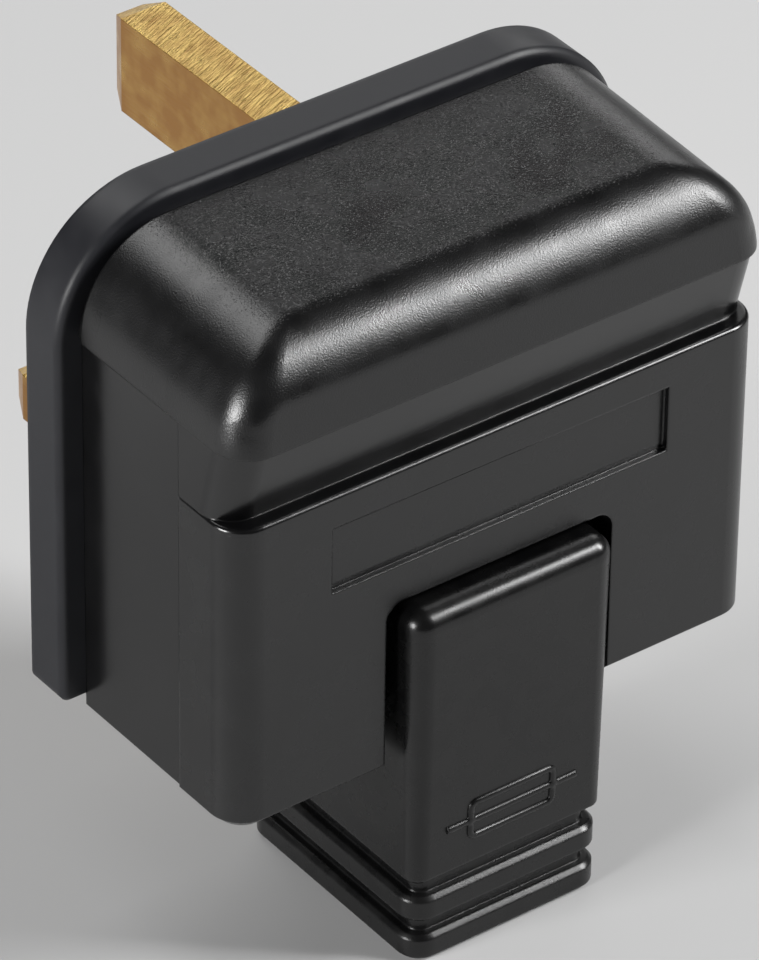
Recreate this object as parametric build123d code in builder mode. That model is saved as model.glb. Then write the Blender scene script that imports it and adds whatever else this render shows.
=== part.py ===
"""Rewirable three-pin 13 A plug: base with brass pins, domed rear cover, cable boot, fuse and terminals.

X is to the right seen from behind, Y is the way the pins point and Z is up, with the earth pin on top.
The origin is on the engagement face, at the centre of the pin pattern.
Depths are measured from the engagement face towards the back, so a depth d lies at Y = -d.
"""
import os
from math import cos, radians, tan

from build123d import *

# Pins, to the 13 A standard
pin_pitch = 22.23
earth_w = 4.0
earth_h = 8.05
earth_len = 22.73
power_w = 6.35
power_h = 4.0
power_len = 18.2
pin_tip_len = 2.0
pin_tip_taper = 25
pin_tip_edge = 0.3
pin_clearance = 0.05
sleeve_len = 9.3
sleeve_root = 1.5
sleeve_t = 0.5

# Base plate and the rim that the cover fits over
plate_w = 50.0
plate_top = 18.5
plate_bottom = -22.6
plate_t = 4.2
plate_top_r = 10.0
plate_foot_r = 1.0
plate_edge = 0.35
rim_t = 1.2
rim_h = 2.4
rim_clearance = 0.15

# Rear cover, with insets measured in from the sides of the plate
lip_inset = 1.75
lip_depth = 0.9
dome_drop = 0.9
dome_r = 7.7
dome_fall = 2.8
dome_edge_z = 9.3
dome_depth = 24.1
dome_lean = 6.0
dome_curl = 3.85
dome_curl_r = 6.0
dome_round = 2.9
panel_inset = 1.4
panel_depth = 23.45
panel_corner_r = 2.7
panel_foot_edge = 0.8
cover_drop = 0.8
cover_wall = 2.0
pocket_inset = 2.1
pocket_depth = 16.9
ridge_z = 3.05
ridge_r = 0.35
ledge = 1.45
grip_overhang = 0.5
cavity_edge = 2.0
notch_w = 20.3
notch_top = -8.5
notch_r = 1.4
name_w = 30.0
name_h = 5.6
name_z = -2.45
name_sink = 0.5

# Cable boot
boot_w = 17.5
boot_depth = 25.4
boot_gap = 0.4
boot_slot = 0.7
boot_taper = 0.8
boot_foot = -33.7
boot_edge_r = 1.3
boot_top_r = 1.5
boot_foot_edge = 0.5
boot_shoulder = 0.3
boot_keeper = 2.2
boot_keeper_t = 1.6
collar_groove = 0.9
collar_groove_h = 1.35
collar_rib_h = 2.2
collar_corner_r = 1.9
collar_edge = 0.35
cable_r = 4.2
cable_depth = 13.2

# Cover screw, its washer and the threaded insert in the cover
screw_r = 1.7
screw_head_r = 3.1
screw_head_h = 1.9
screw_sink = 0.5
screw_depth = 16.5
screw_hole_gap = 0.15
screw_boss_r = 4.2
screw_boss_h = 3.4
washer_r = 3.6
washer_t = 0.8
insert_r = 2.7
insert_len = 6.4

# Terminals
terminal_w = 7.2
terminal_h = 7.5
terminal_edge = 0.4
terminal_screw_r = 1.5
terminal_screw_len = 4.6
terminal_head_r = 2.2
terminal_head_h = 1.5
terminal_wire_r = 1.5
terminal_wire_depth = 2.6

# Fuse and its clips
fuse_len = 25.4
fuse_cap_r = 3.15
fuse_cap_len = 5.6
fuse_cap_t = 0.3
fuse_bore_r = 2.0
fuse_wire_r = 0.2
fuse_x = 9.2
fuse_foot_z = -15.0
clip_t = 0.6
clip_len = 5.0
clip_gap = 0.05
clip_lead = 1.3
clip_plate_t = 2.0
clip_plate_h = 6.4
rivet_r = 1.1
rivet_head_r = 1.7
rivet_head_h = 0.5
rivet_len = 1.6

# Cord clamp
clamp_pitch = 16.4
clamp_z = -18.0
clamp_gap = 0.4
clamp_post_r = 2.3
clamp_bar_h = 4.6
clamp_bar_t = 2.2
clamp_ridge = 0.8
clamp_ridge_draft = 30
clamp_screw_r = 1.2
clamp_screw_len = 6.0
clamp_head_r = 2.2
clamp_head_h = 1.5
saddle_h = 3.8
saddle_w = 9.0
saddle_t = 3.0

# Slots in the screw heads, and the small gap that every screw and loose fit keeps
slot_w = 0.8
slot_h = 0.7
fit_gap = 0.05

# Places worked out from the sizes above
half_w = plate_w / 2
earth_z = pin_pitch / 2
power_x = pin_pitch / 2
power_z = -pin_pitch / 2
cover_bottom = plate_bottom - cover_drop
dome_front = plate_t + lip_depth
dome_top = plate_top - dome_drop
fall = tan(radians(dome_fall))
lean = tan(radians(dome_lean))
crown_z = (dome_top - fall * (dome_depth - plate_t + dome_edge_z * lean)) / (1 - fall * lean)
crown_depth = dome_depth - (crown_z - dome_edge_z) * lean
curl_depth = crown_depth - dome_curl
panel_hw = half_w - panel_inset
pocket_hw = half_w - pocket_inset
grip_depth = panel_depth - ledge
cavity_hw = pocket_hw - cover_wall
cavity_top = plate_top - lip_inset - cover_wall
cavity_bottom = cover_bottom + cover_wall
cavity_r = plate_top_r - lip_inset - cover_wall
cavity_depth = grip_depth - cover_wall
rim_hw = cavity_hw - rim_clearance
rim_top = cavity_top - rim_clearance
rim_bottom = cavity_bottom + rim_clearance
rim_r = cavity_r - rim_clearance
screw_seat = screw_sink + screw_head_h
boss_depth = plate_t + screw_boss_h
pillar_depth = boss_depth + washer_t
boot_front = plate_t + boot_gap
boot_top = notch_top - boot_slot
boot_long = boot_depth - boot_front
boot_middle = (boot_depth + boot_front) / 2
boot_shelf = cavity_bottom + boot_shoulder
keeper_foot = cavity_bottom + cavity_edge
keeper_back = cavity_depth - boot_shoulder
keeper_front = keeper_back - boot_keeper_t
clamp_depth = keeper_front - clamp_gap - clamp_head_h - clamp_bar_t
rib_top = boot_foot - collar_groove_h
rib_bottom = rib_top - collar_rib_h
flange_top = rib_bottom - collar_groove_h
boot_bottom = flange_top - collar_rib_h
terminal_depth = plate_t + terminal_h
clip_seat = plate_t + clip_plate_t
fuse_depth = clip_seat + clip_t + rivet_head_h + fuse_cap_r
fuse_top_z = fuse_foot_z + fuse_len
fuse_tube_r = fuse_cap_r - fuse_cap_t
clip_hw = fuse_cap_r + clip_gap + clip_t
low_clip_z = fuse_foot_z + fuse_cap_len / 2
high_clip_z = fuse_top_z - fuse_cap_len / 2
live_block_w = cavity_hw - rim_clearance - rim_t - fit_gap - fuse_x - clip_hw
live_block_x = fuse_x + clip_hw + live_block_w / 2
live_block_z = rim_top - rim_r - fit_gap - terminal_w / 2
earth_block_z = rim_top - rim_t - fit_gap - terminal_w / 2
terminals = [(0, earth_block_z), (-power_x, power_z), (live_block_x, live_block_z)]

face_outwards = Plane(origin=(0, 0, 0), x_dir=(-1, 0, 0), z_dir=(0, 1, 0))
pillar_front = Plane(origin=(0, -pillar_depth, 0), x_dir=(-1, 0, 0), z_dir=(0, 1, 0))


def rear_edges(face):
    """The straight rear edge of a level face and its two corner arcs."""
    arcs = face.edges().filter_by(GeomType.CIRCLE)
    return arcs + [face.edges().filter_by(Axis.X).sort_by(Axis.Y)[0]]


def cover_plan(depth):
    """The cover seen from above, from the plate back to the given depth, with its rear corners rounded."""
    with BuildSketch(mode=Mode.PRIVATE) as plan:
        with Locations((0, -plate_t)):
            Rectangle(2 * panel_hw, depth - plate_t, align=(Align.CENTER, Align.MAX))
        fillet(plan.vertices().group_by(Axis.Y)[0], panel_corner_r)
    return plan.sketch_local


def arched(half_width, bottom, top, top_r):
    """A flat outline whose two top corners are rounded."""
    with BuildSketch(mode=Mode.PRIVATE) as outline:
        with Locations((0, (top + bottom) / 2)):
            Rectangle(2 * half_width, top - bottom)
        fillet(outline.vertices().group_by(Axis.Y)[-1], top_r)
    return outline.sketch_local


def slotted_screw(shank_r, shank_len, head_r, head_h):
    """A cheese-head screw whose head sits on the XY plane and whose shank goes down from it."""
    with BuildPart() as body:
        Cylinder(head_r, head_h, align=(Align.CENTER, Align.CENTER, Align.MIN))
        Cylinder(shank_r, shank_len, align=(Align.CENTER, Align.CENTER, Align.MAX))
        with Locations((0, 0, head_h)):
            Box(3 * head_r, slot_w, 2 * slot_h, mode=Mode.SUBTRACT)
    return body.part


def pin_bar(width, height, length, x, z):
    """A straight pin with a bevelled tip, from the back of the plate forwards."""
    with BuildPart() as bar:
        with BuildSketch(Plane.XZ.offset(plate_t)):
            with Locations((x, z)):
                Rectangle(width, height)
        extrude(amount=pin_tip_len - plate_t - length)
        extrude(bar.faces().sort_by(Axis.Y)[-1], amount=pin_tip_len, taper=pin_tip_taper)
        chamfer(bar.faces().sort_by(Axis.Y)[-1].edges(), pin_tip_edge)
    return bar.part


def sleeve_ring(x):
    """The insulating sleeve round the root of a power pin, flush with the bare half of the pin."""
    with BuildPart() as ring:
        with BuildSketch(Plane.XZ.offset(sleeve_root)):
            with Locations((x, power_z)):
                Rectangle(power_w, power_h)
                Rectangle(power_w - 2 * sleeve_t, power_h - 2 * sleeve_t, mode=Mode.SUBTRACT)
        extrude(amount=-sleeve_root - sleeve_len)
    return ring.part


def terminal_block(x, z, width):
    """A brass block on the back of the plate, with a screw hole from behind and a wire hole from below."""
    with BuildPart() as body:
        with BuildSketch(Plane.XZ.offset(plate_t)):
            with Locations((x, z)):
                Rectangle(width, terminal_w)
        extrude(amount=terminal_h)
        chamfer(body.faces().sort_by(Axis.Y)[0].edges(), terminal_edge)
        with Locations(Plane.XZ.offset(terminal_depth)):
            with Locations((x, z)):
                Hole(terminal_screw_r + fit_gap, terminal_screw_len + fit_gap)
        with Locations(Plane.XY.offset(z + terminal_w / 2)):
            with Locations((x, -plate_t - terminal_wire_depth)):
                Hole(terminal_wire_r, terminal_w)
    return body.part


def clip_plate(x0, x1, z):
    """A flat brass seat for a fuse clip on the back of the plate, with its rivet hole."""
    with BuildPart() as seat:
        with BuildSketch(Plane.XZ.offset(plate_t)):
            with Locations(((x0 + x1) / 2, z)):
                Rectangle(x1 - x0, clip_plate_h)
        extrude(amount=clip_plate_t)
        with Locations(Plane.XZ.offset(clip_seat)):
            with Locations((fuse_x, z)):
                Hole(rivet_r + fit_gap, rivet_len)
    return seat.part


def fuse_cap(end):
    """A drawn cup with its closed end on the given plane and its mouth along the plane's normal."""
    with BuildPart() as cup:
        with BuildSketch(end):
            Circle(fuse_cap_r)
        extrude(amount=fuse_cap_len)
        chamfer(cup.edges().filter_by(GeomType.CIRCLE).sort_by_distance(end.origin)[0], fuse_cap_t)
        with BuildSketch(end.offset(fuse_cap_t)):
            Circle(fuse_tube_r)
        extrude(amount=fuse_cap_len, mode=Mode.SUBTRACT)
    return cup.part


def fuse_clip(z):
    """A spring clip: a flat foot and two leaves that hug the fuse cap and splay at their mouths."""
    grip = fuse_cap_r + clip_gap + clip_t / 2
    foot = -clip_seat - clip_t / 2
    mouth = -fuse_depth - fuse_cap_r + clip_lead
    with BuildPart() as clip:
        with BuildSketch(Plane.XY.offset(z - clip_len / 2)):
            with BuildLine():
                Polyline(
                    (fuse_x - grip - clip_lead / 2, mouth - clip_lead),
                    (fuse_x - grip, mouth),
                    (fuse_x - grip, foot),
                    (fuse_x + grip, foot),
                    (fuse_x + grip, mouth),
                    (fuse_x + grip + clip_lead / 2, mouth - clip_lead),
                )
            trace(line_width=clip_t)
        extrude(amount=clip_len)
        with Locations(Plane.XZ.offset(clip_seat + clip_t)):
            with Locations((fuse_x, z)):
                Hole(rivet_r + fit_gap, clip_t)
    return clip.part


def collar_ring(foot):
    """One rib of the boot's collar, standing on the given height."""
    with BuildPart() as ring:
        with BuildSketch(Plane.XY.offset(foot)):
            with Locations((0, -boot_middle)):
                RectangleRounded(boot_w, boot_long, collar_corner_r)
        extrude(amount=collar_rib_h)
        chamfer(ring.faces().filter_by(Axis.Z).edges(), collar_edge)
    return ring.part


# Base plate with pin holes, cover rim, screw boss, clamp posts and cord saddle
with BuildPart() as base_plate:
    with BuildSketch(Plane.XZ):
        add(arched(half_w, plate_bottom, plate_top, plate_top_r))
    extrude(amount=plate_t)
    fillet(base_plate.edges().filter_by(Axis.Y).group_by(Axis.Z)[0], plate_foot_r)
    chamfer(base_plate.faces().filter_by(Axis.Y).edges(), plate_edge)
    with BuildSketch(Plane.XZ.offset(plate_t)):
        add(arched(rim_hw, rim_bottom, rim_top, rim_r))
        add(
            arched(rim_hw - rim_t, rim_bottom + rim_t, rim_top - rim_t, rim_r - rim_t),
            mode=Mode.SUBTRACT,
        )
        with Locations((0, rim_bottom)):
            Rectangle(notch_w + boot_gap, 4 * rim_t, mode=Mode.SUBTRACT)
    extrude(amount=rim_h)
    with BuildSketch(Plane.XZ.offset(plate_t)):
        Circle(screw_boss_r)
    extrude(amount=screw_boss_h)
    with BuildSketch(Plane.XZ.offset(plate_t)):
        with Locations((0, clamp_z)):
            Rectangle(saddle_w, saddle_t)
    extrude(amount=saddle_h)
    with BuildSketch(Plane.XY.offset(clamp_z)):
        with Locations((0, -cable_depth)):
            Circle(cable_depth - plate_t - saddle_h / 2)
    extrude(amount=saddle_t, both=True, mode=Mode.SUBTRACT)
    with BuildSketch(Plane.XZ.offset(plate_t)):
        with Locations((0, clamp_z)):
            with GridLocations(clamp_pitch, 0, 2, 1):
                Circle(clamp_post_r)
    extrude(amount=clamp_depth - plate_t)
    with BuildSketch(Plane.XZ):
        with Locations((0, earth_z)):
            Rectangle(earth_w + 2 * pin_clearance, earth_h + 2 * pin_clearance)
        with Locations((-power_x, power_z), (power_x, power_z)):
            Rectangle(power_w + 2 * pin_clearance, power_h + 2 * pin_clearance)
    extrude(amount=plate_t, mode=Mode.SUBTRACT)
    with Locations(face_outwards):
        CounterBoreHole(
            screw_r + screw_hole_gap,
            screw_head_r + screw_hole_gap,
            screw_head_h + screw_sink,
            boss_depth,
        )
    with Locations(Plane.XZ.offset(clamp_depth)):
        with Locations((0, clamp_z)):
            with GridLocations(clamp_pitch, 0, 2, 1):
                Hole(clamp_screw_r + fit_gap, clamp_screw_len)
base_plate.part.label = "base_plate"

# Domed head of the cover: an arch that sinks backwards, curled over into a leaning rear face
with BuildPart() as cover_dome:
    with BuildSketch(Plane.XZ.offset(plate_t).rotated((dome_fall, 0, 0))):
        add(arched(panel_hw, cover_bottom, dome_top * cos(radians(dome_fall)), dome_r))
    extrude(amount=2 * dome_depth, both=True)
    with BuildSketch(Plane.YZ.offset(-half_w)):
        with BuildLine():
            curl_start = (-crown_depth - dome_curl * lean, crown_z - dome_curl)
            curl_end = (-curl_depth, crown_z + dome_curl * fall)
            RadiusArc(curl_start, curl_end, dome_curl_r)
            Polyline(
                curl_end,
                (-curl_depth, 2 * plate_top),
                (-dome_front, 2 * plate_top),
                (-dome_front, ridge_z),
                ((ridge_z - dome_edge_z) * lean - dome_depth, ridge_z),
                curl_start,
            )
        make_face()
    extrude(amount=plate_w, mode=Mode.INTERSECT)
    rear_rounds = cover_dome.edges().filter_by_position(Axis.Y, -2 * dome_depth, fit_gap - curl_depth)
    fillet(rear_rounds.sort_by(Axis.Z)[1:], dome_round)
    with BuildSketch(Plane.XZ.offset(plate_t)):
        add(arched(half_w - lip_inset, ridge_z, plate_top - lip_inset, plate_top_r - lip_inset))
    extrude(amount=lip_depth)
    split(bisect_by=Plane.XY.offset(dome_edge_z), keep=Keep.TOP)

# Lower body of the cover, with rounded rear corners and a soft ridge
with BuildPart() as cover_body:
    with BuildSketch(Plane.XY.offset(cover_bottom)):
        add(cover_plan(panel_depth))
    extrude(amount=ridge_z - cover_bottom)
    chamfer(rear_edges(cover_body.faces().sort_by(Axis.Z)[0]), panel_foot_edge)
    fillet(rear_edges(cover_body.faces().sort_by(Axis.Z)[-1]), ridge_r)

# Finger band between the ridge and the dome, leaning outwards as it rises
with BuildPart() as cover_band:
    with BuildSketch(Plane.XY.offset(ridge_z)):
        add(cover_plan(grip_depth))
    with BuildSketch(Plane.XY.offset(dome_edge_z)):
        add(cover_plan(dome_depth - grip_overhang))
    loft()

# Hollow of the cover
with BuildPart() as cover_hollow:
    with BuildSketch(Plane.XZ.offset(plate_t)):
        add(arched(cavity_hw, cavity_bottom, cavity_top, cavity_r))
    extrude(amount=cavity_depth - plate_t)
    chamfer(cover_hollow.faces().sort_by(Axis.Y)[0].edges(), cavity_edge)

# Rear cover: body, band and dome made one, then hollowed, notched and given its screw pillar
with BuildPart() as rear_cover:
    add(cover_body.part)
    add(cover_band.part)
    with BuildSketch(Plane.XZ.offset(plate_t)):
        for side in (-1, 1):
            with Locations((side * (pocket_hw + half_w) / 2, (cover_bottom + dome_edge_z) / 2)):
                Rectangle(half_w - pocket_hw, dome_edge_z - cover_bottom)
    extrude(amount=pocket_depth - plate_t, mode=Mode.SUBTRACT)
    add(cover_dome.part)
    add(cover_hollow.part, mode=Mode.SUBTRACT)
    with BuildSketch(Plane.XZ.offset(plate_t)):
        add(arched(notch_w / 2, cover_bottom - cover_wall, notch_top, notch_r))
    extrude(amount=panel_depth, mode=Mode.SUBTRACT)
    with BuildSketch(Plane.XZ.offset(panel_depth)):
        with Locations((0, name_z)):
            Rectangle(name_w, name_h)
    extrude(amount=-name_sink, mode=Mode.SUBTRACT)
    with BuildSketch(Plane.XZ.offset(pillar_depth)):
        Circle(screw_boss_r)
    extrude(amount=cavity_depth + cover_wall / 2 - pillar_depth)
    with Locations(pillar_front):
        Hole(insert_r + fit_gap, insert_len + fit_gap)
        Hole(screw_r + screw_hole_gap, screw_depth + fit_gap - pillar_depth)
rear_cover.part.label = "rear_cover"

# Cable boot: tapered block in the notch, ribbed collar, keeper flange inside the cover and cable bore
with BuildPart() as cable_boot:
    with BuildSketch(Plane.XY.offset(boot_foot)):
        with Locations((0, -boot_middle)):
            RectangleRounded(boot_w, boot_long, boot_edge_r)
    extrude(amount=boot_top - boot_foot, taper=-boot_taper)
    fillet(cable_boot.faces().sort_by(Axis.Z)[-1].edges(), boot_top_r)
    chamfer(cable_boot.faces().sort_by(Axis.Z)[0].edges(), boot_foot_edge)
    with BuildSketch(Plane.XY.offset(boot_shelf)):
        with Locations((0, -keeper_front)):
            Rectangle(2 * boot_w, boot_depth, align=(Align.CENTER, Align.MIN))
    extrude(amount=boot_top - boot_shelf, mode=Mode.SUBTRACT)
    with BuildSketch(Plane.XZ.offset(keeper_front)):
        with Locations((0, keeper_foot)):
            Rectangle(
                notch_w + 2 * boot_keeper,
                notch_top + boot_keeper - keeper_foot,
                align=(Align.CENTER, Align.MIN),
            )
    extrude(amount=boot_keeper_t)
    with BuildSketch(Plane.XY.offset(boot_bottom)):
        with Locations((0, -boot_middle)):
            neck_r = max(collar_corner_r - collar_groove, collar_edge)
            RectangleRounded(boot_w - 2 * collar_groove, boot_long - 2 * collar_groove, neck_r)
    extrude(amount=boot_foot + boot_foot_edge - boot_bottom)
    add(collar_ring(rib_bottom))
    add(collar_ring(boot_bottom))
    with Locations(Plane.XY.offset(boot_shelf)):
        with Locations((0, -cable_depth)):
            Hole(cable_r, boot_shelf - boot_bottom)
cable_boot.part.label = "cable_boot"

# Earth pin with its terminal block
with BuildPart() as earth_pin:
    add(pin_bar(earth_w, earth_h, earth_len, 0, earth_z))
    add(terminal_block(0, earth_block_z, terminal_w))
earth_pin.part.label = "earth_pin"

# Neutral pin with its terminal block
with BuildPart() as neutral_pin:
    add(pin_bar(power_w, power_h, power_len, -power_x, power_z))
    add(sleeve_ring(-power_x), mode=Mode.SUBTRACT)
    add(terminal_block(-power_x, power_z, terminal_w))
neutral_pin.part.label = "neutral_pin"

# Live pin with the seat of the lower fuse clip
with BuildPart() as live_pin:
    add(pin_bar(power_w, power_h, power_len, power_x, power_z))
    add(sleeve_ring(power_x), mode=Mode.SUBTRACT)
    add(clip_plate(fuse_x - clip_hw, power_x + terminal_w / 2, low_clip_z))
live_pin.part.label = "live_pin"

# Live terminal, with the seat of the upper fuse clip beside its block
with BuildPart() as live_terminal:
    add(clip_plate(fuse_x - clip_hw, live_block_x - live_block_w / 2, high_clip_z))
    add(terminal_block(live_block_x, live_block_z, live_block_w))
live_terminal.part.label = "live_terminal"

# Insulating sleeves of the two power pins
with BuildPart() as neutral_pin_sleeve:
    add(sleeve_ring(-power_x))
neutral_pin_sleeve.part.label = "neutral_pin_sleeve"

with BuildPart() as live_pin_sleeve:
    add(sleeve_ring(power_x))
live_pin_sleeve.part.label = "live_pin_sleeve"

# Terminal screws, one behind each terminal block
with BuildPart() as terminal_screws:
    with Locations(Plane.XZ.offset(terminal_depth)):
        with Locations(*terminals):
            add(slotted_screw(terminal_screw_r, terminal_screw_len, terminal_head_r, terminal_head_h))
terminal_screws.part.label = "terminal_screws"

# Fuse tube, held in a cap at each end
with BuildPart() as fuse_tube:
    with BuildSketch(Plane.XY.offset(fuse_foot_z + fuse_cap_t)):
        with Locations((fuse_x, -fuse_depth)):
            Circle(fuse_tube_r - fit_gap)
            Circle(fuse_bore_r, mode=Mode.SUBTRACT)
    extrude(amount=fuse_len - 2 * fuse_cap_t)
fuse_tube.part.label = "fuse_tube"

# Fuse caps, closed ends outwards
with BuildPart() as fuse_cap_pin_end:
    add(fuse_cap(Plane(origin=(fuse_x, -fuse_depth, fuse_foot_z), z_dir=(0, 0, 1))))
fuse_cap_pin_end.part.label = "fuse_cap_pin_end"

with BuildPart() as fuse_cap_terminal_end:
    add(fuse_cap(Plane(origin=(fuse_x, -fuse_depth, fuse_top_z), z_dir=(0, 0, -1))))
fuse_cap_terminal_end.part.label = "fuse_cap_terminal_end"

# Fuse wire from cap to cap
with BuildPart() as fuse_wire:
    with BuildSketch(Plane.XY.offset(fuse_foot_z + fuse_cap_t)):
        with Locations((fuse_x, -fuse_depth)):
            Circle(fuse_wire_r)
    extrude(amount=fuse_len - 2 * fuse_cap_t)
fuse_wire.part.label = "fuse_wire"

# Spring clips at the two ends of the fuse
with BuildPart() as pin_fuse_clip:
    add(fuse_clip(low_clip_z))
pin_fuse_clip.part.label = "pin_fuse_clip"

with BuildPart() as terminal_fuse_clip:
    add(fuse_clip(high_clip_z))
terminal_fuse_clip.part.label = "terminal_fuse_clip"

# Rivets through the feet of the clips
with BuildPart() as clip_rivets:
    with Locations(Plane.XZ.offset(clip_seat + clip_t)):
        with Locations((fuse_x, low_clip_z), (fuse_x, high_clip_z)):
            Cylinder(rivet_head_r, rivet_head_h, align=(Align.CENTER, Align.CENTER, Align.MIN))
            Cylinder(rivet_r, clip_t + rivet_len - fit_gap, align=(Align.CENTER, Align.CENTER, Align.MAX))
clip_rivets.part.label = "clip_rivets"

# Cord clamp bar with a ridge that bites the cord
with BuildPart() as clamp_bar:
    with BuildSketch(Plane.XZ.offset(clamp_depth)):
        with Locations((0, clamp_z)):
            SlotCenterToCenter(clamp_pitch, clamp_bar_h)
    extrude(amount=clamp_bar_t)
    with BuildSketch(Plane.XZ.offset(clamp_depth)):
        with Locations((0, clamp_z)):
            Rectangle(saddle_w, 2 * clamp_ridge)
    extrude(amount=-clamp_ridge, taper=clamp_ridge_draft)
    with Locations(Plane.XZ.offset(clamp_depth + clamp_bar_t)):
        with Locations((0, clamp_z)):
            with GridLocations(clamp_pitch, 0, 2, 1):
                Hole(clamp_screw_r + screw_hole_gap, clamp_bar_t)
clamp_bar.part.label = "clamp_bar"

# Clamp screws into the two posts of the base
with BuildPart() as clamp_screws:
    with Locations(Plane.XZ.offset(clamp_depth + clamp_bar_t)):
        with Locations((0, clamp_z)):
            with GridLocations(clamp_pitch, 0, 2, 1):
                add(
                    slotted_screw(
                        clamp_screw_r,
                        clamp_bar_t + clamp_screw_len - fit_gap,
                        clamp_head_r,
                        clamp_head_h,
                    )
                )
clamp_screws.part.label = "clamp_screws"

# Cover screw, entered from the pin side
with BuildPart() as cover_screw:
    with Locations(face_outwards.offset(-screw_seat)):
        add(slotted_screw(screw_r, screw_depth - screw_seat, screw_head_r, screw_head_h))
cover_screw.part.label = "cover_screw"

# Fibre washer that keeps the cover screw in the base
with BuildPart() as screw_washer:
    with BuildSketch(Plane.XZ.offset(boss_depth)):
        Circle(washer_r)
        Circle(screw_r + fit_gap, mode=Mode.SUBTRACT)
    extrude(amount=washer_t)
screw_washer.part.label = "screw_washer"

# Threaded brass insert in the cover's pillar
with BuildPart() as cover_insert:
    with BuildSketch(Plane.XZ.offset(pillar_depth)):
        Circle(insert_r)
        Circle(screw_r + fit_gap, mode=Mode.SUBTRACT)
    extrude(amount=insert_len)
cover_insert.part.label = "cover_insert"

nodes = [
    base_plate,
    rear_cover,
    cable_boot,
    earth_pin,
    neutral_pin,
    live_pin,
    live_terminal,
    neutral_pin_sleeve,
    live_pin_sleeve,
    terminal_screws,
    fuse_tube,
    fuse_cap_pin_end,
    fuse_cap_terminal_end,
    fuse_wire,
    pin_fuse_clip,
    terminal_fuse_clip,
    clip_rivets,
    clamp_bar,
    clamp_screws,
    cover_screw,
    screw_washer,
    cover_insert,
]
os.makedirs("parts", exist_ok=True)
for node in nodes:
    export_step(node.part, f"parts/{node.part.label}.step")
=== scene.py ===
# %% [markdown]
# # A three-pin plug and its finishes
# The solids of the plug come ready made and stay where they are. This lesson gives each of them the
# surface that the real piece has: spark-eroded black plastic, satin plastic, rubber, milled brass, steel
# and ceramic. One small piece is added, a raised fuse symbol on the cable boot. Everything is in metres,
# with the pins pointing along +Y and the earth pin on top.

# %% Load the plug
import math

import bpy
from mathutils import Matrix, Vector


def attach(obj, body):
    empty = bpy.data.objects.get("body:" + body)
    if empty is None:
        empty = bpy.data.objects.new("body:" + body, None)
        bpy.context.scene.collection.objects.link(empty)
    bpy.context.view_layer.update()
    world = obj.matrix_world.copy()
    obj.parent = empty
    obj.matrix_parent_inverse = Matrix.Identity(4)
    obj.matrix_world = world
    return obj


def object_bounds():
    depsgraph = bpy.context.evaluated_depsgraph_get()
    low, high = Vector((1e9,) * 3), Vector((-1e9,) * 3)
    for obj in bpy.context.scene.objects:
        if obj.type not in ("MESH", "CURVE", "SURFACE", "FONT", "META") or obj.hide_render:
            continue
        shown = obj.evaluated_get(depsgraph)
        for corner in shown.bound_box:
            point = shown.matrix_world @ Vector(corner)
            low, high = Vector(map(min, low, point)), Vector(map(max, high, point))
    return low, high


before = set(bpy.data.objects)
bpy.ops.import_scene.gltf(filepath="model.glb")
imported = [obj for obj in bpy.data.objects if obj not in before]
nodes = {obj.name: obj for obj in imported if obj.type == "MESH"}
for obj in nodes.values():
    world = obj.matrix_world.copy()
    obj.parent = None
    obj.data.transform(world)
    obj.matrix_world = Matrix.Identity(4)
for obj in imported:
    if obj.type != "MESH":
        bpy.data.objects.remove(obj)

mm_in_metre = 1000
cad_box = [list(corner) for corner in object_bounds()]
print("nodes:", len(nodes), "box in mm:", [[round(mm_in_metre * c, 2) for c in corner] for corner in cad_box])

# %% [markdown]
# ## The camera
# The plug is seen from behind and above, from the left, through a long lens that keeps its edges nearly
# parallel. An angle round the plug, a height and a distance are easier to adjust than a typed-in matrix,
# so the camera's own axes are built from them: back, right and up, with a small roll at the end.

# %% Camera
picture = (759, 960)
azimuth, elevation, roll = math.radians(-37.07), math.radians(35.57), math.radians(0.83)
distance = 0.55406
focal_pixels = 7654
slide_right, slide_up = -0.00187, -0.00101

back = Vector((math.sin(azimuth) * math.cos(elevation),
               -math.cos(azimuth) * math.cos(elevation),
               math.sin(elevation)))
level = Vector((math.cos(azimuth), math.sin(azimuth), 0))
upright = back.cross(level)
right = math.cos(roll) * level + math.sin(roll) * upright
up = math.cos(roll) * upright - math.sin(roll) * level
target = Vector((0, -0.012, -0.007035)) + slide_right * right + slide_up * up

lens = bpy.data.cameras.new("portrait_lens")
lens.lens = focal_pixels / max(picture) * lens.sensor_width
camera = bpy.data.objects.new("portrait_camera", lens)
turned = Matrix((right, up, back)).transposed().to_4x4()
camera.matrix_world = Matrix.Translation(target + distance * back) @ turned
bpy.context.scene.collection.objects.link(camera)
bpy.context.scene.camera = camera
print("lens in mm:", round(lens.lens, 1))

# %% [markdown]
# ## A small kit for finishes
# Every finish starts from the same shader. What is equal all over a surface is set on the shader's own
# socket. What varies comes from noise on Object coordinates, so that a pattern stays on the piece
# whatever moves it. Scales are given as the size of a speck in millimetres, which is how a toolmaker
# would describe a texture.

# %% Finish kit: shader and coordinates
def new_finish(name, uniform):
    """A material and its shader, with the values that are the same all over."""
    finish = bpy.data.materials.new(name)
    finish.use_nodes = True
    shader = finish.node_tree.nodes["Principled BSDF"]
    for socket, value in uniform.items():
        shader.inputs[socket].default_value = value
    return finish, finish.node_tree, shader


def place_on(tree, stretch=(1, 1, 1), turn=(0, 0, 0)):
    """Object coordinates for a pattern that is turned and drawn out along its own axes."""
    coordinates = tree.nodes.new("ShaderNodeTexCoord")
    mapping = tree.nodes.new("ShaderNodeMapping")
    mapping.vector_type = "TEXTURE"
    mapping.inputs["Rotation"].default_value = [math.radians(angle) for angle in turn]
    mapping.inputs["Scale"].default_value = stretch
    tree.links.new(coordinates.outputs["Object"], mapping.inputs["Vector"])
    return mapping.outputs["Vector"]


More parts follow.
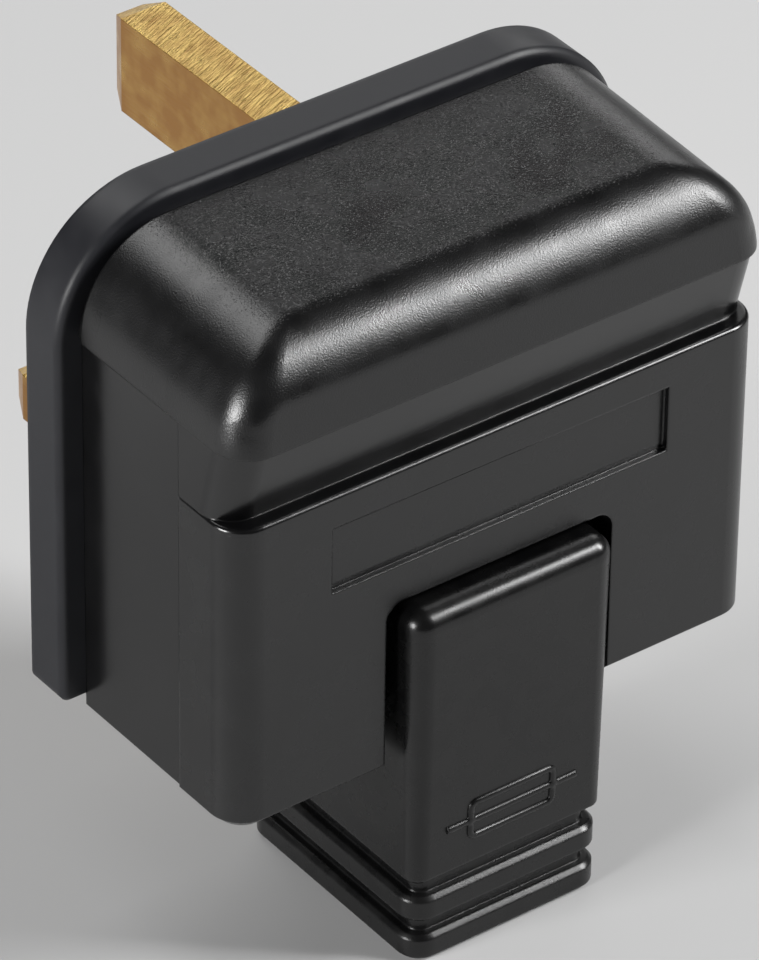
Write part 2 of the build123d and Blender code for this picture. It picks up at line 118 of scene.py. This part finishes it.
def wear(finish, *names):
    """Puts a finish on the named nodes."""
    for name in names:
        nodes[name].material_slots[0].material = finish
    print("finish:", finish.name, "on", ", ".join(names))


print("kit: shader and coordinates")

# %% Finish kit: patterns
def specks(tree, place, size_mm, detail=2.0):
    """Soft noise whose specks are about the given size."""
    noise = tree.nodes.new("ShaderNodeTexNoise")
    noise.inputs["Scale"].default_value = mm_in_metre / size_mm
    noise.inputs["Detail"].default_value = detail
    tree.links.new(place, noise.inputs["Vector"])
    return noise.outputs["Fac"]


def spread(tree, source, low, high, start=0.3, end=0.7):
    """The source, stretched so that start to end becomes low to high."""
    ranged = tree.nodes.new("ShaderNodeMapRange")
    for socket, value in (("From Min", start), ("From Max", end), ("To Min", low), ("To Max", high)):
        ranged.inputs[socket].default_value = value
    tree.links.new(source, ranged.inputs["Value"])
    return ranged.outputs["Result"]


def combine(tree, operation, first, second):
    """One step of arithmetic between two sources, or a source and a number."""
    step = tree.nodes.new("ShaderNodeMath")
    step.operation = operation
    for socket, value in zip(step.inputs, (first, second)):
        if isinstance(value, (int, float)):
            socket.default_value = value
        else:
            tree.links.new(value, socket)
    return step.outputs["Value"]


def two_tone(tree, source, first, second):
    """A colour that goes from the first to the second as the source goes from 0 to 1."""
    mix = tree.nodes.new("ShaderNodeMix")
    mix.data_type = "RGBA"
    mix.inputs["A"].default_value = (*first, 1)
    mix.inputs["B"].default_value = (*second, 1)
    tree.links.new(source, mix.inputs["Factor"])
    return mix.outputs["Result"]


print("kit: patterns")

# %% Finish kit: relief
edge_samples = 8


def soft_edges(tree, radius_mm):
    """The surface direction with sharp edges eased by the given radius, which catches light along them."""
    bevel = tree.nodes.new("ShaderNodeBevel")
    bevel.samples = edge_samples
    bevel.inputs["Radius"].default_value = radius_mm / mm_in_metre
    return bevel.outputs["Normal"]


def facets(tree, place, size_mm, tilt, below):
    """Flat grains of the given size, most of them nearly level and a few steep enough to glint."""
    grains = tree.nodes.new("ShaderNodeTexVoronoi")
    grains.inputs["Scale"].default_value = mm_in_metre / size_mm
    tree.links.new(place, grains.inputs["Vector"])

    def step(operation, first, second):
        node = tree.nodes.new("ShaderNodeVectorMath")
        node.operation = operation
        tree.links.new(first, node.inputs[0])
        if isinstance(second, tuple):
            node.inputs[1].default_value = second
        else:
            tree.links.new(second, node.inputs["Scale" if operation == "SCALE" else 1])
        return node.outputs["Vector"]

    lean = step("SUBTRACT", step("MULTIPLY", grains.outputs["Color"], (2, 2, 2)), (1, 1, 1))
    square = step("MULTIPLY", lean, lean)
    rare = step("MULTIPLY", step("MULTIPLY", square, square), step("MULTIPLY", square, square))
    steep = step("MULTIPLY", lean, step("MULTIPLY", rare, rare))
    leaned = step("ADD", below, step("SCALE", steep, tilt))
    return step("NORMALIZE", leaned, (0, 0, 0))


def relief(tree, shader, source, depth_mm, below):
    """A bump of the given depth, laid over another surface direction."""
    bump = tree.nodes.new("ShaderNodeBump")
    bump.inputs["Distance"].default_value = depth_mm / mm_in_metre
    tree.links.new(source, bump.inputs["Height"])
    tree.links.new(below, bump.inputs["Normal"])
    tree.links.new(bump.outputs["Normal"], shader.inputs["Normal"])


print("kit: relief")

# %% [markdown]
# ## Floor
# The plug stands on a plain pale floor that carries its shadow. The floor is matt, large and of one tone,
# because glossy black faces mirror it: a border or a patch anywhere near would show in them.

# %% Floor
floor_z = cad_box[0][2]
floor_half = 3.0
floor_tone = (0.54, 0.54, 0.54, 1)

floor_mesh = bpy.data.meshes.new("pale_floor")
floor_mesh.from_pydata(
    [(-floor_half, -floor_half, floor_z), (floor_half, -floor_half, floor_z),
     (floor_half, floor_half, floor_z), (-floor_half, floor_half, floor_z)], [], [(0, 1, 2, 3)])
floor = bpy.data.objects.new("pale_floor", floor_mesh)
bpy.context.scene.collection.objects.link(floor)

floor_paint = new_finish(
    "pale_floor", {"Base Color": floor_tone, "Roughness": 0.9, "Specular IOR Level": 0.1})[0]
floor_mesh.materials.append(floor_paint)
print("floor at z in mm:", round(mm_in_metre * floor_z, 2))

# %% [markdown]
# ## Light
# The lamps are soft panels. The shoulder panel, behind on the right, draws the long highlight on the
# dome, and the corner panel, on the left, the short upright one beside it. The top panel, above the pins,
# lights the left shoulder and the points of the grain. The card in front on the right is large and dim:
# the tops of the pins and of the plate mirror it. Each is given by its brightness, because a glossy black
# surface shows a lamp's brightness and size rather than its power, and the power follows from those two.
# Together they light the floor at a plain level, at which its colour renders only a little brighter than
# it is written.

# %% Lamps and sky
middle = Vector((0, -0.012, -0.005))
panel_distance = 0.6
sky_tone = (0.06, 0.06, 0.06, 1)


def soft_panel(name, towards, width, height, brightness):
    """A rectangular lamp that stands in the given direction from the plug and faces it."""
    lamp = bpy.data.lights.new(name, "AREA")
    lamp.shape = "RECTANGLE"
    lamp.size, lamp.size_y = width, height
    lamp.energy = brightness * math.pi * width * height
    stand = bpy.data.objects.new(name, lamp)
    direction = Vector(towards).normalized()
    facing = direction.to_track_quat("Z", "Y").to_matrix().to_4x4()
    stand.matrix_world = Matrix.Translation(middle + panel_distance * direction) @ facing
    stand.visible_camera = False
    bpy.context.scene.collection.objects.link(stand)
    return stand


panels = [
    soft_panel("shoulder_panel", (0.64, -0.50, 0.58), 0.15, 0.26, 33.0),
    soft_panel("corner_panel", (-0.88, 0.00, 0.24), 0.24, 0.20, 26.0),
    soft_panel("top_panel", (-0.04, 0.575, 0.82), 0.30, 0.28, 3.8),
    soft_panel("front_card", (0.56, 0.74, 0.37), 0.45, 0.26, 1.5),
]
sky = bpy.data.worlds.new("studio")
sky.use_nodes = True
sky.node_tree.nodes["Background"].inputs["Color"].default_value = sky_tone
bpy.context.scene.world = sky
bpy.context.scene.view_settings.view_transform = "Standard"
print("lamps:", {panel.name: round(panel.data.energy, 2) for panel in panels})

# %% [markdown]
# ## Black plastic of the cover
# The mould of the cover was finished in two ways. Where the dome and the rear panel are formed it was
# spark-eroded, which leaves a fine grain. The finger band and the side pockets come from polished inserts
# and are smooth. Two materials would need a cut mesh, so one material tells the zones apart by their
# place: the band lies between two heights, and the pockets end at one depth. On the level top of the dome
# a few facets of the grain still glint, while hands have rubbed the shoulders softer, so the facets fade
# out as the surface turns away from level.

# %% Cover: where the grain is
ridge_z, dome_edge_z, pocket_y = 0.00305, 0.0093, -0.0169
ridge_wear = 0.0005
level_from, level_full = 0.90, 0.98

cover_black, tree, shader = new_finish("cover_black", {"Specular IOR Level": 0.60})
place = place_on(tree)
apart = tree.nodes.new("ShaderNodeSeparateXYZ")
tree.links.new(place, apart.inputs["Vector"])
on_dome = combine(tree, "GREATER_THAN", apart.outputs["Z"], dome_edge_z)
below_ridge = combine(tree, "LESS_THAN", apart.outputs["Z"], ridge_z - ridge_wear)
behind_pockets = combine(tree, "LESS_THAN", apart.outputs["Y"], pocket_y)
on_panel = combine(tree, "MULTIPLY", below_ridge, behind_pockets)
grained = combine(tree, "MAXIMUM", on_dome, on_panel)
facing = tree.nodes.new("ShaderNodeNewGeometry")
way = tree.nodes.new("ShaderNodeSeparateXYZ")
tree.links.new(facing.outputs["Normal"], way.inputs["Vector"])
on_level = combine(tree, "MULTIPLY", on_dome, spread(tree, way.outputs["Z"], 0, 1, level_from, level_full))
rubbed = combine(tree, "SUBTRACT", on_dome, on_level)
print("grain above z in mm:", mm_in_metre * dome_edge_z, "and on the panel below:", mm_in_metre * ridge_z)

# %% Cover: colour and gloss
rubbed_dulling = 0.04

cloud = specks(tree, place, 3.0)
tree.links.new(two_tone(tree, spread(tree, cloud, 0, 1), (0.0021, 0.0021, 0.0023), (0.0036, 0.0036, 0.0039)),
               shader.inputs["Base Color"])
gloss = combine(tree, "MULTIPLY", grained, spread(tree, cloud, 0.02, 0.06))
dulled = combine(tree, "ADD", gloss, combine(tree, "MULTIPLY", rubbed, rubbed_dulling))
tree.links.new(combine(tree, "ADD", dulled, spread(tree, cloud, 0.20, 0.24)), shader.inputs["Roughness"])
print("gloss: smooth zones 0.20 to 0.24, grained zones a little duller, rubbed shoulders dullest")

# %% Cover: grain
facet_mm, grain_mm, grain_depth_mm = 0.075, 0.12, 0.018
panel_grain = 0.35

tilt = combine(tree, "MULTIPLY", on_level, spread(tree, cloud, 0.30, 0.44))
glints = facets(tree, place, facet_mm, tilt, soft_edges(tree, 0.25))
grain = combine(tree, "ADD", on_dome, combine(tree, "MULTIPLY", on_panel, panel_grain))
relief(tree, shader, combine(tree, "MULTIPLY", specks(tree, place, grain_mm), grain), grain_depth_mm, glints)
wear(cover_black, "rear_cover")

# %% [markdown]
# ## Satin plastic of the base
# The base is a harder moulding than the cover, dark grey with a slight blue cast, and evenly satin. A
# fine grain and slow changes in gloss are enough; its edges are eased a little so that they draw thin
# lines of light.

# %% Base plate
base_grey, tree, shader = new_finish("base_grey", {"Specular IOR Level": 0.38})
place = place_on(tree)
cloud = specks(tree, place, 2.5)
tree.links.new(two_tone(tree, spread(tree, cloud, 0, 1), (0.0105, 0.0108, 0.0134), (0.0138, 0.0142, 0.0170)),
               shader.inputs["Base Color"])
tree.links.new(spread(tree, cloud, 0.38, 0.46), shader.inputs["Roughness"])
relief(tree, shader, specks(tree, place, 0.07), 0.004, soft_edges(tree, 0.6))
wear(base_grey, "base_plate")

# %% [markdown]
# ## Rubber of the boot
# The boot is moulded rubber. It is as black as the cover but duller, with a very fine grain and faint
# pale bloom that comes and goes over a few millimetres.

# %% Cable boot
boot_rubber, tree, shader = new_finish("boot_rubber", {"Specular IOR Level": 0.46})
place = place_on(tree)
bloom = specks(tree, place, 2.0, 4.0)
tree.links.new(two_tone(tree, spread(tree, bloom, 0, 1), (0.0028, 0.0028, 0.0030), (0.0050, 0.0050, 0.0050)),
               shader.inputs["Base Color"])
tree.links.new(spread(tree, bloom, 0.23, 0.32), shader.inputs["Roughness"])
relief(tree, shader, specks(tree, place, 0.09), 0.006, soft_edges(tree, 0.3))
wear(boot_rubber, "cable_boot")

# %% [markdown]
# ## Raised fuse symbol
# The flat back of the boot carries a low raised sign. Here it is the usual drawing sign for a fuse, a
# long box with a line through it. It is one rounded profile that follows a path, so a small Geometry
# Nodes tree makes it: a box curve and a line, swept with a flattened circle, then laid on the boot's
# face, which leans by a small draft angle. The box gets rounded corners first. A sweep round a square
# corner would thin the strokes on both sides of it.

# %% Fuse symbol: the tree
corner_steps, profile_sides = 5, 16


def symbol_tree(finish):
    """Geometry Nodes that sweep a flattened round profile along a box and a line through it."""
    tree = bpy.data.node_groups.new("fuse_symbol", "GeometryNodeTree")
    tree.is_modifier = True
    for name in ("Box Length", "Box Height", "Corner", "Line Length", "Stroke", "Rise"):
        tree.interface.new_socket(name, in_out="INPUT", socket_type="NodeSocketFloat")
    tree.interface.new_socket("Geometry", in_out="OUTPUT", socket_type="NodeSocketGeometry")
    sizes = tree.nodes.new("NodeGroupInput").outputs

    def halved(source, sign):
        half = tree.nodes.new("ShaderNodeMath")
        half.operation = "MULTIPLY"
        half.inputs[1].default_value = sign / 2
        tree.links.new(source, half.inputs[0])
        point = tree.nodes.new("ShaderNodeCombineXYZ")
        tree.links.new(half.outputs[0], point.inputs["X"])
        return point.outputs["Vector"]

    box = tree.nodes.new("GeometryNodeCurvePrimitiveQuadrilateral")
    tree.links.new(sizes["Box Length"], box.inputs["Width"])
    tree.links.new(sizes["Box Height"], box.inputs["Height"])
    rounded = tree.nodes.new("GeometryNodeFilletCurve")
    rounded.mode = "POLY"
    rounded.inputs["Count"].default_value = corner_steps
    tree.links.new(box.outputs["Curve"], rounded.inputs["Curve"])
    tree.links.new(sizes["Corner"], rounded.inputs["Radius"])
    line = tree.nodes.new("GeometryNodeCurvePrimitiveLine")
    tree.links.new(halved(sizes["Line Length"], -1), line.inputs["Start"])
    tree.links.new(halved(sizes["Line Length"], 1), line.inputs["End"])
    paths = tree.nodes.new("GeometryNodeJoinGeometry")
    tree.links.new(rounded.outputs["Curve"], paths.inputs["Geometry"])
    tree.links.new(line.outputs["Curve"], paths.inputs["Geometry"])

    profile = tree.nodes.new("GeometryNodeCurvePrimitiveCircle")
    profile.inputs["Resolution"].default_value = profile_sides
    profile.inputs["Radius"].default_value = 0.5
    flatten = tree.nodes.new("GeometryNodeTransform")
    shape = tree.nodes.new("ShaderNodeCombineXYZ")
    tree.links.new(sizes["Stroke"], shape.inputs["X"])
    tree.links.new(sizes["Rise"], shape.inputs["Y"])
    shape.inputs["Z"].default_value = 1.0
    tree.links.new(profile.outputs["Curve"], flatten.inputs["Geometry"])
    tree.links.new(shape.outputs["Vector"], flatten.inputs["Scale"])

    sweep = tree.nodes.new("GeometryNodeCurveToMesh")
    sweep.inputs["Fill Caps"].default_value = True
    tree.links.new(paths.outputs["Geometry"], sweep.inputs["Curve"])
    tree.links.new(flatten.outputs["Geometry"], sweep.inputs["Profile Curve"])
    real = tree.nodes.new("GeometryNodeRealizeInstances")
    coat = tree.nodes.new("GeometryNodeSetMaterial")
    coat.inputs["Material"].default_value = finish
    tree.links.new(sweep.outputs["Mesh"], real.inputs["Geometry"])
    tree.links.new(real.outputs["Geometry"], coat.inputs["Geometry"])
    tree.links.new(coat.outputs["Geometry"], tree.nodes.new("NodeGroupOutput").inputs["Geometry"])
    return tree


sign_tree = symbol_tree(boot_rubber)
print("tree:", sign_tree.name, "nodes:", len(sign_tree.nodes))

# %% Fuse symbol: the piece
sign_sizes = {"Box Length": 0.0075, "Box Height": 0.0031, "Corner": 0.0005,
              "Line Length": 0.0118, "Stroke": 0.0006, "Rise": 0.00044}
boot_foot_z, boot_back_y, boot_draft = -0.0337, -0.0254, math.radians(0.8)
sign_z = -0.0293

carrier = bpy.data.objects.new("fuse_symbol_path", bpy.data.meshes.new("fuse_symbol_path"))
bpy.context.scene.collection.objects.link(carrier)
modifier = carrier.modifiers.new("symbol", "NODES")
modifier.node_group = sign_tree
for item in sign_tree.interface.items_tree:
    if item.in_out == "INPUT":
        modifier[item.identifier] = sign_sizes[item.name]
swept = bpy.data.meshes.new_from_object(carrier.evaluated_get(bpy.context.evaluated_depsgraph_get()))
bpy.data.objects.remove(carrier)

sign_y = boot_back_y - (sign_z - boot_foot_z) * math.tan(boot_draft)
upright_turn = Matrix.Rotation(math.radians(90) + boot_draft, 4, "X")
swept.transform(Matrix.Translation((0, sign_y, sign_z)) @ upright_turn)
fuse_symbol = bpy.data.objects.new("fuse_symbol", swept)
bpy.context.scene.collection.objects.link(fuse_symbol)
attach(fuse_symbol, "root")
furthest_back = min(vertex.co.y for vertex in swept.vertices)
print("symbol faces:", len(swept.polygons), "furthest back in mm:", round(mm_in_metre * furthest_back, 3))

# %% [markdown]
# ## Milled brass
# The pins are sawn and milled from drawn brass bar. Their narrow tops keep the slanting marks of the
# cutter, their wide sides only fine lines along the pin, and handling leaves patches that are a little
# darker and duller. The same bar makes the terminals and the threaded insert, so they share the finish.
# Which marks show is chosen by the way a face points, and each set of marks is noise drawn out along the
# direction of the cut. The way a face points also sets a painted shade: every side is painted darker and
# redder than the tops.

# %% Brass
top_slope = 0.6

pin_brass, tree, shader = new_finish("pin_brass", {"Metallic": 1.0})
facing = tree.nodes.new("ShaderNodeNewGeometry")
way = tree.nodes.new("ShaderNodeSeparateXYZ")
tree.links.new(facing.outputs["True Normal"], way.inputs["Vector"])
on_top = combine(tree, "GREATER_THAN", combine(tree, "ABSOLUTE", way.outputs["Z"], 0.0), top_slope)

cutter = specks(tree, place_on(tree, stretch=(14, 1, 14), turn=(0, 0, 24)), 0.16, 3.0)
drawn = specks(tree, place_on(tree, stretch=(1, 30, 1)), 0.12, 3.0)
cut_marks = combine(tree, "MULTIPLY", cutter, on_top)
drawn_marks = combine(tree, "MULTIPLY", drawn, spread(tree, on_top, 0.25, 0.0, 0, 1))
marks = combine(tree, "ADD", cut_marks, drawn_marks)
tarnish = specks(tree, place_on(tree), 2.2, 4.0)
# Painted shade: the sides are pushed most of the way to the dark red colour and the tops not at all; the
# tarnish noise adds real handled patches on top of that.
tarnish_and_painted_side_shade = combine(tree, "ADD", spread(tree, tarnish, 0, 0.35), spread(tree, on_top, 0.75, 0, 0, 1))
tone_with_painted_side_shade = combine(tree, "ADD", tarnish_and_painted_side_shade, combine(tree, "MULTIPLY", spread(tree, cutter, 0.5, -0.1), on_top))
# The second colour, dark and red, carries both the painted side shade and the handled patches.
tree.links.new(two_tone(tree, tone_with_painted_side_shade, (0.93, 0.66, 0.21), (0.42, 0.21, 0.060)), shader.inputs["Base Color"])
tree.links.new(spread(tree, tarnish, 0.26, 0.34), shader.inputs["Roughness"])
relief(tree, shader, marks, 0.12, soft_edges(tree, 0.14))
wear(pin_brass, "earth_pin", "neutral_pin", "live_pin", "live_terminal", "cover_insert")

# %% [markdown]
# ## Sleeves of the power pins
# The roots of the two lower pins wear a sleeve of black insulating plastic, moulded on and slightly
# glossy.

# %% Pin sleeves
sleeve_black, tree, shader = new_finish("sleeve_black", {"Specular IOR Level": 0.5})
place = place_on(tree)
haze = specks(tree, place, 1.2)
tree.links.new(two_tone(tree, spread(tree, haze, 0, 1), (0.0075, 0.0075, 0.0078), (0.0110, 0.0110, 0.0112)),
               shader.inputs["Base Color"])
tree.links.new(spread(tree, haze, 0.26, 0.34), shader.inputs["Roughness"])
relief(tree, shader, specks(tree, place, 0.08), 0.004, soft_edges(tree, 0.1))
wear(sleeve_black, "neutral_pin_sleeve", "live_pin_sleeve")

# %% [markdown]
# ## Steel of the screws
# The screws and the clamp bar are zinc-plated steel: pale grey, a little blue, with tiny crystals and
# tool marks.

# %% Screws and clamp
zinc_steel, tree, shader = new_finish("zinc_steel", {"Metallic": 1.0})
place = place_on(tree)
crystals = specks(tree, place, 0.5, 4.0)
tree.links.new(two_tone(tree, spread(tree, crystals, 0, 1), (0.50, 0.52, 0.54), (0.66, 0.67, 0.68)),
               shader.inputs["Base Color"])
tree.links.new(spread(tree, crystals, 0.26, 0.40), shader.inputs["Roughness"])
relief(tree, shader, specks(tree, place, 0.12), 0.006, soft_edges(tree, 0.1))
wear(zinc_steel, "terminal_screws", "clamp_screws", "cover_screw", "fuse_wire", "clamp_bar")

# %% [markdown]
# ## Nickel plate of the clips and caps
# The fuse caps, the spring clips and their rivets are plated, warmer and brighter than the zinc of the
# screws. They are drawn and pressed, so the only marks are long faint scratches.

# %% Clips and caps
nickel_plate, tree, shader = new_finish("nickel_plate", {"Metallic": 1.0})
place = place_on(tree)
haze = specks(tree, place, 1.0)
scratches = specks(tree, place_on(tree, stretch=(1, 1, 20)), 0.1, 3.0)
tree.links.new(two_tone(tree, spread(tree, haze, 0, 1), (0.58, 0.55, 0.49), (0.68, 0.65, 0.59)),
               shader.inputs["Base Color"])
tree.links.new(spread(tree, haze, 0.18, 0.28), shader.inputs["Roughness"])
relief(tree, shader, scratches, 0.004, soft_edges(tree, 0.1))
wear(nickel_plate, "fuse_cap_pin_end", "fuse_cap_terminal_end", "pin_fuse_clip", "terminal_fuse_clip",
     "clip_rivets")

# %% [markdown]
# ## Ceramic of the fuse
# The fuse tube is pressed and fired ceramic, off-white and slightly speckled, with a dull glaze.

# %% Fuse tube
fuse_ceramic, tree, shader = new_finish("fuse_ceramic", {"Specular IOR Level": 0.5})
place = place_on(tree)
speckle = specks(tree, place, 0.35, 4.0)
tree.links.new(two_tone(tree, spread(tree, speckle, 0, 1), (0.60, 0.56, 0.48), (0.76, 0.73, 0.66)),
               shader.inputs["Base Color"])
tree.links.new(spread(tree, speckle, 0.32, 0.44), shader.inputs["Roughness"])
relief(tree, shader, speckle, 0.006, soft_edges(tree, 0.1))
wear(fuse_ceramic, "fuse_tube")

# %% [markdown]
# ## Fibre of the washer
# The washer that keeps the cover screw in place is red-brown vulcanised fibre, matt, with flat fibres in
# its face.

# %% Washer
washer_fibre, tree, shader = new_finish("washer_fibre", {"Specular IOR Level": 0.3})
fibres = specks(tree, place_on(tree, stretch=(7, 1, 1), turn=(0, 35, 0)), 0.2, 4.0)
tree.links.new(two_tone(tree, spread(tree, fibres, 0, 1), (0.16, 0.035, 0.022), (0.27, 0.068, 0.042)),
               shader.inputs["Base Color"])
tree.links.new(spread(tree, fibres, 0.65, 0.8), shader.inputs["Roughness"])
relief(tree, shader, fibres, 0.01, soft_edges(tree, 0.1))
wear(washer_fibre, "screw_washer")
